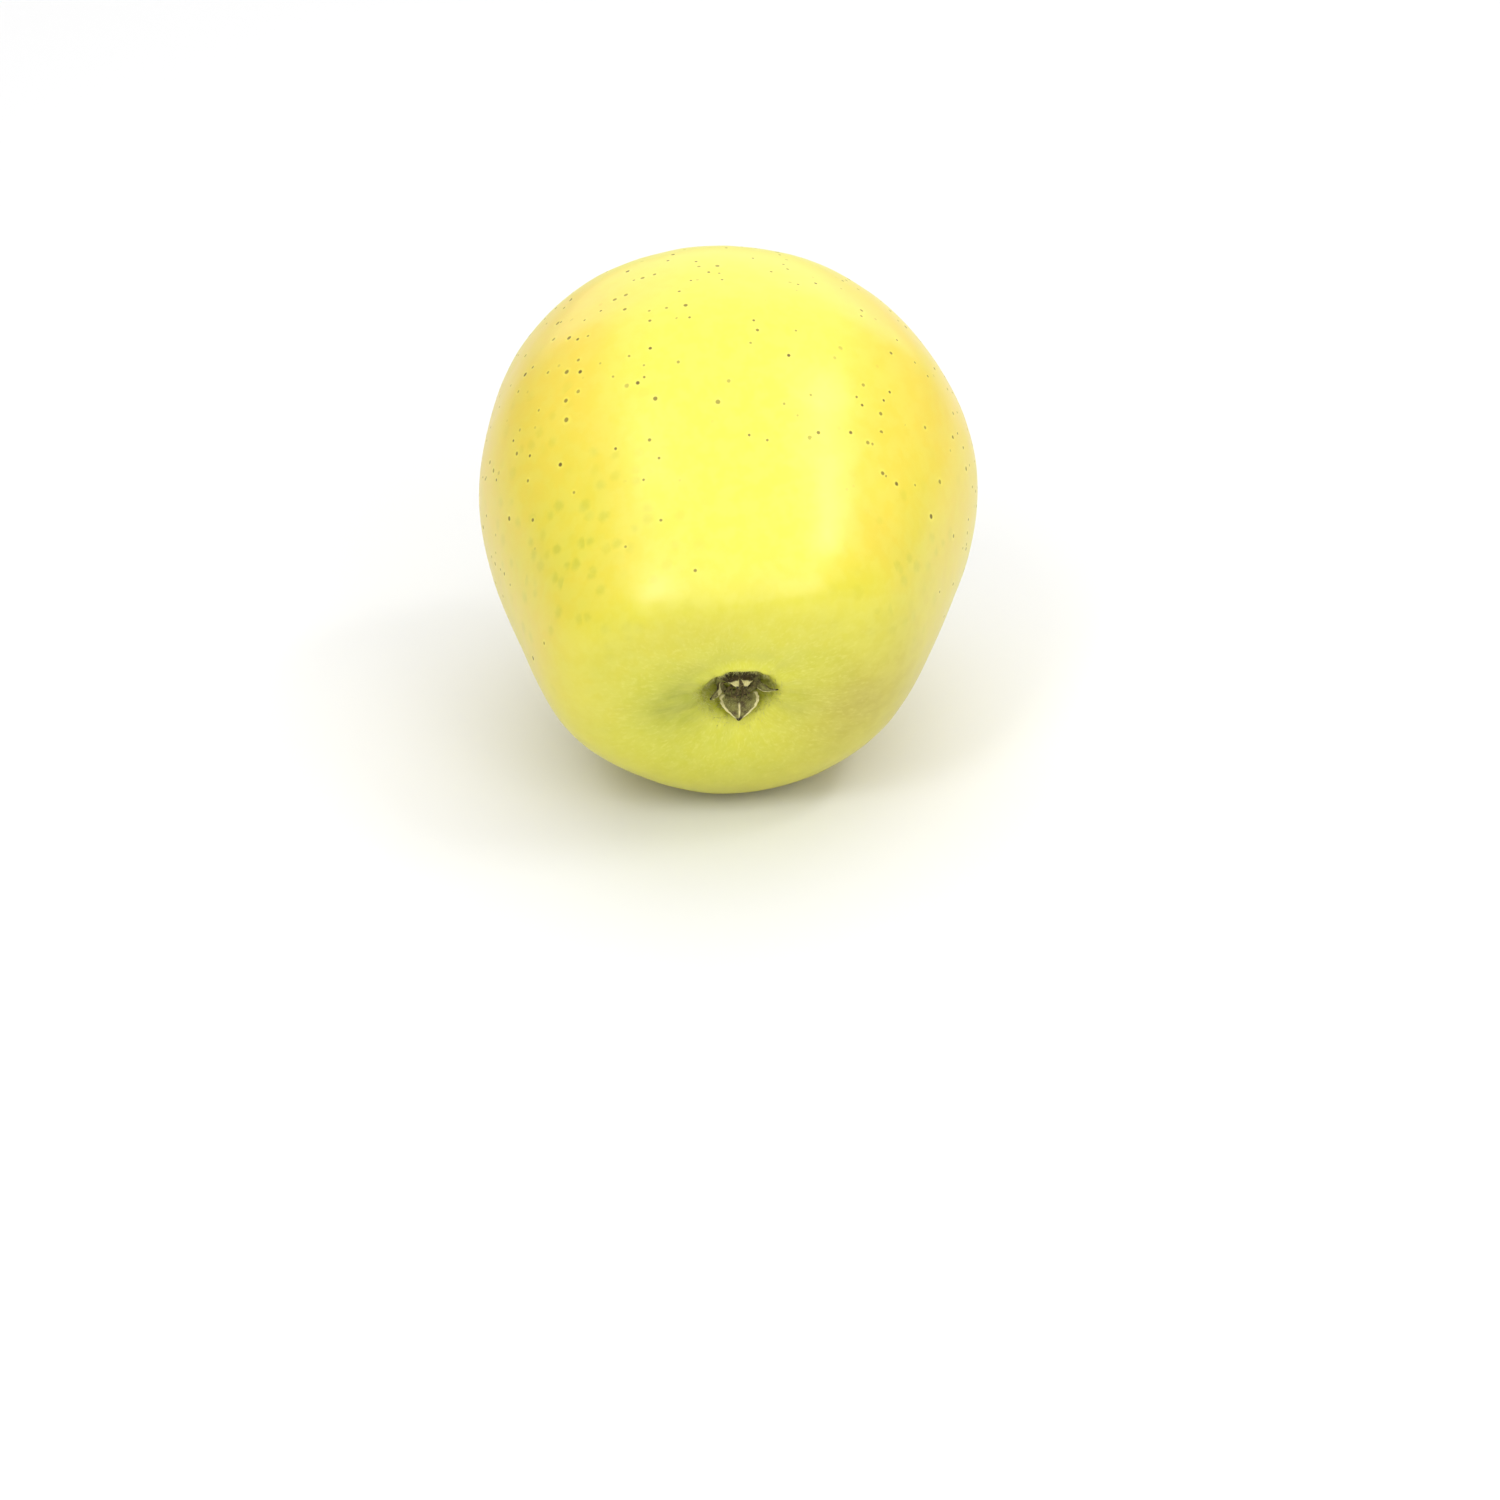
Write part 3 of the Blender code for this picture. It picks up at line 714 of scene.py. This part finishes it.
def sepal_pale(share, side, pale):
    """How pale a sepal is at a place: its edges, its rib, its foot and its tip."""
    low_edge, high_edge, rib, foot, tip, on_outside = pale
    inside = low_edge * ramp(-side, 0.76, 0.95) + high_edge * ramp(side, 0.76, 0.95)
    inside = inside + rib * ramp(-np.abs(side), -0.12, -0.02) * ramp(share, 0.12, 0.4)
    inside = inside + foot * ramp(-share, -0.50, -0.25) + tip * ramp(share, 0.45, 0.75)
    return np.concatenate([inside.ravel(), on_outside * inside.ravel()])


def make_sepal(index, sizes):
    """A dried leaf: two sheets a little apart, joined along their rim."""
    rows = SEPAL_ROWS + 1
    columns = SEPAL_COLUMNS + 1
    sheet = np.zeros((rows, columns, 3))
    share = np.zeros((rows, columns))
    side = np.zeros((rows, columns))
    for row in range(rows):
        for column in range(columns):
            share[row, column] = row / SEPAL_ROWS
            side[row, column] = 2 * column / SEPAL_COLUMNS - 1
            sheet[row, column] = sepal_point(share[row, column], side[row, column], index, sizes)
    normal = np.cross(np.gradient(sheet, axis=1), np.gradient(sheet, axis=0))
    normal /= np.maximum(np.linalg.norm(normal, axis=-1, keepdims=True), 1e-9)
    thick = SEPAL_THICKNESS / 2 * (1 - SEPAL_THIN_EDGE * np.abs(side) ** 3) * (1 - SEPAL_THIN_TIP * share**2)
    inner = sheet - normal * thick[..., None]
    outer = sheet + normal * thick[..., None]
    points = np.concatenate([inner.reshape(-1, 3), outer.reshape(-1, 3)])
    count = rows * columns
    faces = []
    for row in range(rows - 1):
        for column in range(columns - 1):
            a = row * columns + column
            faces.append((a, a + columns, a + columns + 1, a + 1))
            faces.append((count + a, count + a + 1, count + a + columns + 1, count + a + columns))
    rim = list(range(columns))
    rim += [row * columns + columns - 1 for row in range(1, rows)]
    rim += [(rows - 1) * columns + k for k in range(columns - 2, -1, -1)]
    rim += [row * columns for row in range(rows - 2, 0, -1)]
    for first, second in zip(rim, rim[1:] + rim[:1]):
        faces.append((first, second, count + second, count + first))
    inside = np.ones(count)
    fields = {
        "share": np.tile(share.ravel(), 2),
        "pale": sepal_pale(share, side, SEPAL_PALE[index]),
        "outside": np.concatenate([1 - inside, inside]),
        "growth": np.concatenate([inside, 0.35 * inside]),
    }
    return build_piece(f"sepal_leaf_{index + 1}", to_world(points, EYE), faces, fields)


def leaf_finish():
    """Dried leaf: olive and downy within, brown outside, with cream edges and a dark tip."""
    leaf = Finish("dried_leaf", 0.8)
    cloud = leaf.noise(900.0, 3.0)
    fibre = leaf.noise(2600.0, 3.0)
    inside = leaf.blend(cloud.between(0.35, 0.7), LEAF_OLIVE, LEAF_BROWN)
    outside = leaf.blend(cloud.between(0.3, 0.75), LEAF_BROWN, LEAF_TIP)
    colour = leaf.blend(leaf.field("outside"), inside, outside)
    pale = ((leaf.field("pale") + (cloud - 0.5) * 0.5).between(0.25, 0.7) * (fibre * 0.6 + 0.6)).clamp()
    colour = leaf.blend(pale, colour, LEAF_CREAM)
    tip = (leaf.field("share") + (cloud - 0.5) * 0.12).between(0.84, 0.94)
    colour = leaf.blend(tip, colour, LEAF_TIP)
    return leaf.surface(Base_Color=colour, Normal=leaf.bump(fibre, 0.00008, 0.7))


def make_cup():
    """The dried ring under the sepals, cracked and uneven."""
    wall = CUP_OUTER - CUP_INNER
    corner = 0.25 * wall
    edge = 0.15 * wall
    lean = 0.10 * wall
    section = [
        (CUP_INNER + lean, CUP_INNER_FOOT),
        (CUP_OUTER - corner, CUP_OUTER_FOOT - lean),
        (CUP_OUTER, CUP_OUTER_FOOT + lean),
        (CUP_OUTER, CUP_TOP - edge),
        (CUP_OUTER - corner, CUP_TOP),
        (CUP_INNER + corner, CUP_TOP),
        (CUP_INNER, CUP_TOP - edge),
        (CUP_INNER, CUP_INNER_FOOT + edge),
    ]
    sides = len(section)
    points = []
    for i in range(CUP_SIDES):
        around = 2 * math.pi * i / CUP_SIDES
        for radius, height in section:
            crack = CUP_CRACK * noise.noise(Vector((4 * math.cos(around), 4 * math.sin(around), 2 * height)))
            radius = radius + crack
            points.append((radius * math.cos(around), radius * math.sin(around), height + 0.8 * crack))
    faces = []
    for i in range(CUP_SIDES):
        j = (i + 1) % CUP_SIDES
        for k in range(sides):
            n = (k + 1) % sides
            faces.append((i * sides + k, j * sides + k, j * sides + n, i * sides + n))
    return build_piece("cup_ring", to_world(points, EYE), faces)


def cup_finish():
    cup = Finish("dried_cup", 0.85)
    cloud = cup.noise(1100.0, 4.0)
    colour = cup.blend(cloud.between(0.3, 0.7), LEAF_BROWN, LEAF_OLIVE)
    return cup.surface(Base_Color=colour, Normal=cup.bump(cloud, 0.0001, 0.8))


def thread_source():
    """One bent, tapering stamen of unit length along +Z, with a swollen end."""
    sides = 5
    rows = [(0.0, 0.060), (0.3, 0.050), (0.6, 0.044), (0.85, 0.052), (0.93, 0.110), (1.0, 0.070)]
    points = []
    for share, radius in rows:
        bend = 0.22 * share**2
        for k in range(sides):
            turn = 2 * math.pi * k / sides
            points.append((bend + radius * math.cos(turn), radius * math.sin(turn), share))
    faces = []
    for row in range(len(rows) - 1):
        for k in range(sides):
            j = (k + 1) % sides
            a = row * sides
            faces.append((a + k, a + j, a + sides + j, a + sides + k))
    faces.append(tuple(range(sides - 1, -1, -1)))
    faces.append(tuple(range((len(rows) - 1) * sides, len(rows) * sides)))
    return build_piece("thread_source", points, faces)


def hair_source():
    """One fine down hair of unit length along +Z: a thin three-sided spike with a bend."""
    rows = [(0.0, 0.035), (0.5, 0.025), (1.0, 0.004)]
    points = []
    for share, radius in rows:
        for k in range(3):
            turn = 2 * math.pi * k / 3
            points.append((0.35 * share**2 + radius * math.cos(turn), radius * math.sin(turn), share))
    faces = [(0, 2, 1)]
    for row in range(2):
        for k in range(3):
            a = row * 3
            faces.append((a + k, a + (k + 1) % 3, a + 3 + (k + 1) % 3, a + 3 + k))
    faces.append((6, 7, 8))
    return build_piece("hair_source", points, faces)


def scatter_tree(name):
    """Geometry Nodes that strew copies of a source object over a surface, leaning at random."""
    tree = bpy.data.node_groups.new(name, "GeometryNodeTree")
    sockets = [
        ("Surface", "NodeSocketGeometry"), ("Source", "NodeSocketObject"), ("Finish", "NodeSocketMaterial"),
        ("Density", "NodeSocketFloat"), ("Shortest", "NodeSocketFloat"), ("Longest", "NodeSocketFloat"),
        ("Lean", "NodeSocketFloat"), ("Seed", "NodeSocketInt"), ("Growth", "NodeSocketString"),
    ]
    for label, kind in sockets:
        tree.interface.new_socket(label, in_out="INPUT", socket_type=kind)
    tree.interface.new_socket("Geometry", in_out="OUTPUT", socket_type="NodeSocketGeometry")

    def add(kind, links, **settings):
        made = tree.nodes.new(kind)
        for key, value in settings.items():
            setattr(made, key, value)
        for key, value in links.items():
            if isinstance(value, bpy.types.NodeSocket):
                tree.links.new(value, made.inputs[key])
            else:
                made.inputs[key].default_value = value
        return made

    given = tree.nodes.new("NodeGroupInput").outputs
    growth = add("GeometryNodeInputNamedAttribute", {"Name": given["Growth"]}, data_type="FLOAT")
    grown = growth.outputs["Attribute"]
    amount = add("ShaderNodeMath", {0: grown, 1: given["Density"]}, operation="MULTIPLY")
    points = add("GeometryNodeDistributePointsOnFaces", {
        "Mesh": given["Surface"], "Density": amount.outputs[0], "Seed": given["Seed"]})
    size = add("FunctionNodeRandomValue", {
        2: given["Shortest"], 3: given["Longest"], "Seed": given["Seed"]}, data_type="FLOAT")
    least = add("ShaderNodeMath", {0: given["Lean"], 1: -1.0}, operation="MULTIPLY")
    low = add("ShaderNodeCombineXYZ", {0: least.outputs[0], 1: least.outputs[0], 2: -math.pi})
    high = add("ShaderNodeCombineXYZ", {0: given["Lean"], 1: given["Lean"], 2: math.pi})
    lean = add("FunctionNodeRandomValue", {
        0: low.outputs[0], 1: high.outputs[0], "Seed": given["Seed"]}, data_type="FLOAT_VECTOR")
    turn = add("FunctionNodeRotateRotation", {
        "Rotation": points.outputs["Rotation"], "Rotate By": lean.outputs[0]}, rotation_space="LOCAL")
    source = add("GeometryNodeObjectInfo", {"Object": given["Source"]})
    copies = add("GeometryNodeInstanceOnPoints", {
        "Points": points.outputs["Points"], "Instance": source.outputs["Geometry"],
        "Rotation": turn.outputs[0], "Scale": size.outputs[1]})
    real = add("GeometryNodeRealizeInstances", {"Geometry": copies.outputs[0]})
    dressed = add("GeometryNodeSetMaterial", {"Geometry": real.outputs[0], "Material": given["Finish"]})
    result = tree.nodes.new("NodeGroupOutput")
    tree.links.new(dressed.outputs[0], result.inputs[0])
    return tree


def scatter(name, surface, source, finish, tree, **sizes):
    """Run the scatter tree on a surface and keep the result as a plain mesh piece."""
    spread = surface.modifiers.new("scatter", "NODES")
    spread.node_group = tree
    values = {"Source": source, "Finish": finish, **sizes}
    for item in tree.interface.items_tree:
        if item.in_out == "INPUT" and item.name in values:
            spread[item.identifier] = values[item.name]
    made = surface.evaluated_get(bpy.context.evaluated_depsgraph_get())
    mesh = bpy.data.meshes.new_from_object(made)
    mesh.name = name
    surface.modifiers.remove(spread)
    piece = bpy.data.objects.new(name, mesh)
    bpy.context.scene.collection.objects.link(piece)
    return piece


def make_tuft_core():
    """The low heap that the stamens grow from."""
    rings = TUFT_RINGS
    segments = TUFT_SEGMENTS
    points = []
    growth = []
    for ring in range(1, rings + 1):
        tilt = math.pi / 2 * ring / rings
        for i in range(segments):
            turn = 2 * math.pi * i / segments
            at = Vector((2 * math.cos(turn), 2 * math.sin(turn), 4 * tilt))
            rough = 1 + TUFT_ROUGHNESS * noise.noise(at)
            reach = TUFT_RADIUS * math.sin(tilt) * rough
            rise = TUFT_FOOT + TUFT_HEIGHT * math.cos(tilt) * rough
            points.append((reach * math.cos(turn), reach * math.sin(turn), rise))
            growth.append(1.0 if ring > 3 else 0.35)
    points.append((0.0, 0.0, TUFT_FOOT + TUFT_HEIGHT))
    points.append((0.0, 0.0, TUFT_FOOT))
    growth += [0.3, 0.0]
    faces = ring_faces(rings, segments)
    count = rings * segments
    faces += fan_faces(0, segments, count)
    faces += fan_faces(count - segments, segments, count + 1, flip=True)
    return build_piece("tuft_core", to_world(points, EYE), faces, {"growth": growth})


def thread_finish():
    thread = Finish("dried_thread", 0.85)
    cloud = thread.noise(1500.0, 3.0)
    colour = thread.blend(cloud.between(0.35, 0.65), THREAD_DARK, THREAD)
    return thread.surface(Base_Color=colour, Normal=thread.bump(cloud, 0.00005, 0.6))


def down_finish():
    down = Finish("pale_down", 0.7)
    cloud = down.noise(700.0, 2.0)
    return down.surface(Base_Color=down.blend(cloud, DOWN_OLIVE, DOWN_PALE))


def make_stalk():
    """The stalk with its ridged bark, thicker foot and the knob where it left the branch."""
    path = smooth_line(STALK_PATH, STALK_ROWS)
    aside = np.array([1.0, 0.0, 0.0])
    points = []
    fields = {"share": [], "ridge": []}
    for row in range(STALK_ROWS):
        share = row / (STALK_ROWS - 1)
        along = path[min(row + 1, STALK_ROWS - 1)] - path[max(row - 1, 0)]
        along /= np.linalg.norm(along)
        aside = aside - along * aside.dot(along)
        aside /= np.linalg.norm(aside)
        beside = np.cross(along, aside)
        flare = STALK_FOOT_FLARE * hump(share, STALK_FLARE_LENGTH)
        knob = STALK_KNOB * hump(share - STALK_KNOB_AT, STALK_KNOB_LENGTH)
        for k in range(STALK_SIDES):
            turn = 2 * math.pi * k / STALK_SIDES
            at = Vector((2.2 * math.cos(turn), 2.2 * math.sin(turn), 5 * share))
            ridge = noise.noise(at) + 0.5 * noise.noise(at * 2.7)
            knot = noise.noise(Vector((1.3 * math.cos(turn), 1.3 * math.sin(turn), 16 * share)))
            radius = STALK_RADIUS + flare + knob + STALK_RIDGE * ridge + STALK_KNOT * knot
            points.append(path[row] + radius * (aside * math.cos(turn) + beside * math.sin(turn)))
            fields["share"].append(share)
            fields["ridge"].append(ridge)
    points.append(path[0])
    points.append(path[-1] + STALK_END_CROWN * along)
    for values, ends in ((fields["share"], (0.0, 1.0)), (fields["ridge"], (0.0, 0.5))):
        values.extend(ends)
    count = STALK_ROWS * STALK_SIDES
    faces = [face[::-1] for face in ring_faces(STALK_ROWS, STALK_SIDES)]
    faces += fan_faces(0, STALK_SIDES, count, flip=True)
    faces += fan_faces(count - STALK_SIDES, STALK_SIDES, count + 1)
    return build_piece("stalk_bark", to_world(points, CORE), faces, fields)


def bark_finish():
    bark = Finish("stalk_bark", 0.72)
    cloud = bark.noise(700.0, 4.0)
    ridge = bark.field("ridge")
    colour = bark.blend((ridge * 0.8 + cloud * 0.7).between(0.2, 0.9), BARK, BARK_LIGHT)
    end = (bark.field("share") + (cloud - 0.5) * 0.06).between(0.93, 0.99)
    colour = bark.blend(end, colour, BARK_END)
    foot = bark.field("share").between(0.22, 0.02) * 0.6
    colour = bark.blend(foot, colour, BARK_FOOT)
    return bark.surface(Base_Color=colour, Normal=bark.bump(cloud, 0.00015, 0.7))


def dress(piece, finish, slot, *nodes):
    """Give a finished piece its material and body, and hide the CAD nodes that it stands for; its slot is not
    used.
    """
    piece.data.materials.clear()
    piece.data.materials.append(finish)
    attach(piece, BODY)
    if nodes:
        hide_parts(*nodes)


def make_apple():
    wax = skin_finish()
    leaf = leaf_finish()
    thread = thread_finish()
    down = down_finish()
    skin = make_skin()
    tree = scatter_tree("strew")

    core = make_tuft_core()
    strand = thread_source()
    threads = scatter("stamen_threads", core, strand, thread, tree, Growth="growth", **STAMENS)
    hair = hair_source()
    fuzz = scatter("eye_down", skin, hair, down, tree, Growth="pit", **EYE_DOWN)
    sepals = [make_sepal(index, sizes) for index, sizes in enumerate(SEPALS)]
    leaf_down = []
    for index, sepal in enumerate(sepals):
        leaf_down.append(scatter(f"leaf_down_{index + 1}", sepal, hair, down, tree, Growth="growth",
                                 Seed=LEAF_DOWN_SEED + index, **LEAF_DOWN))
    for source in (strand, hair):
        bpy.data.objects.remove(source, do_unlink=True)

    dress(skin, wax, "apple_skin", "fruit_body")
    dress(fuzz, down, "apple_skin")
    dress(core, thread, "dried_stamens", "stamen_tuft")
    dress(threads, thread, "dried_stamens")
    dress(make_cup(), cup_finish(), "dried_calyx", "calyx_cup")
    for index, sepal in enumerate(sepals):
        dress(sepal, leaf, "dried_calyx", f"sepal_{index + 1}")
        dress(leaf_down[index], down, "dried_calyx")
    dress(make_stalk(), bark_finish(), "stalk_wood", "stalk")


def make_camera():
    right = Vector((1, 0, 0))
    up = Vector((0, math.sin(CAMERA_ELEVATION), math.cos(CAMERA_ELEVATION)))
    back = Vector((0, -math.cos(CAMERA_ELEVATION), math.sin(CAMERA_ELEVATION)))
    place = CORE.translation - (CORE_RIGHT * right + CORE_UP * up - CAMERA_DISTANCE * back) * MM
    lens = bpy.data.cameras.new("camera")
    lens.lens = CAMERA_LENS
    lens.sensor_width = SENSOR_WIDTH
    lens.clip_start = 0.01
    camera = bpy.data.objects.new("camera", lens)
    bpy.context.scene.collection.objects.link(camera)
    camera.matrix_world = Matrix.Translation(place) @ Matrix((right, up, back)).transposed().to_4x4()
    bpy.context.scene.camera = camera


def add_light(name, place, target, turn, width, height, power):
    """A soft rectangular light in metres and watts, aimed at its target and turned about its own axis."""
    lamp = bpy.data.lights.new(name, "AREA")
    lamp.shape = "RECTANGLE"
    lamp.size = width
    lamp.size_y = height
    lamp.energy = power
    item = bpy.data.objects.new(name, lamp)
    bpy.context.scene.collection.objects.link(item)
    item.location = place
    aim = (Vector(target) - Vector(place)).to_track_quat("-Z", "Y")
    item.rotation_euler = (aim @ Quaternion((0, 0, 1), math.radians(turn))).to_euler()


def panel_power(radiance, width, height):
    """The watts that give a flat light panel this radiance."""
    return radiance * math.pi * width * height


def make_studio():
    world = bpy.data.worlds.new("studio")
    bpy.context.scene.world = world
    world.use_nodes = True
    sky = world.node_tree.nodes["Background"]
    sky.inputs["Color"].default_value = (1.0, 1.0, 1.0, 1.0)
    sky.inputs["Strength"].default_value = WORLD_LIGHT

    half = FLOOR_SIZE / 2
    corners = [(-half, -half, 0), (half, -half, 0), (half, half, 0), (-half, half, 0)]
    floor = build_piece("floor", corners, [(0, 1, 2, 3)])
    paper = Finish("white_paper", 0.9)
    tone = paper.noise(3.0, 2.0)
    floor.data.materials.append(paper.surface(Base_Color=paper.blend(tone, FLOOR_SHADE, FLOOR_LIGHT)))

    for name, radiance, place, target, turn, width, depth in PANELS:
        add_light(name, place, target, turn, width, depth, panel_power(radiance, width, depth))
    bpy.context.scene.view_settings.view_transform = "Standard"


make_apple()
make_camera()
make_studio()
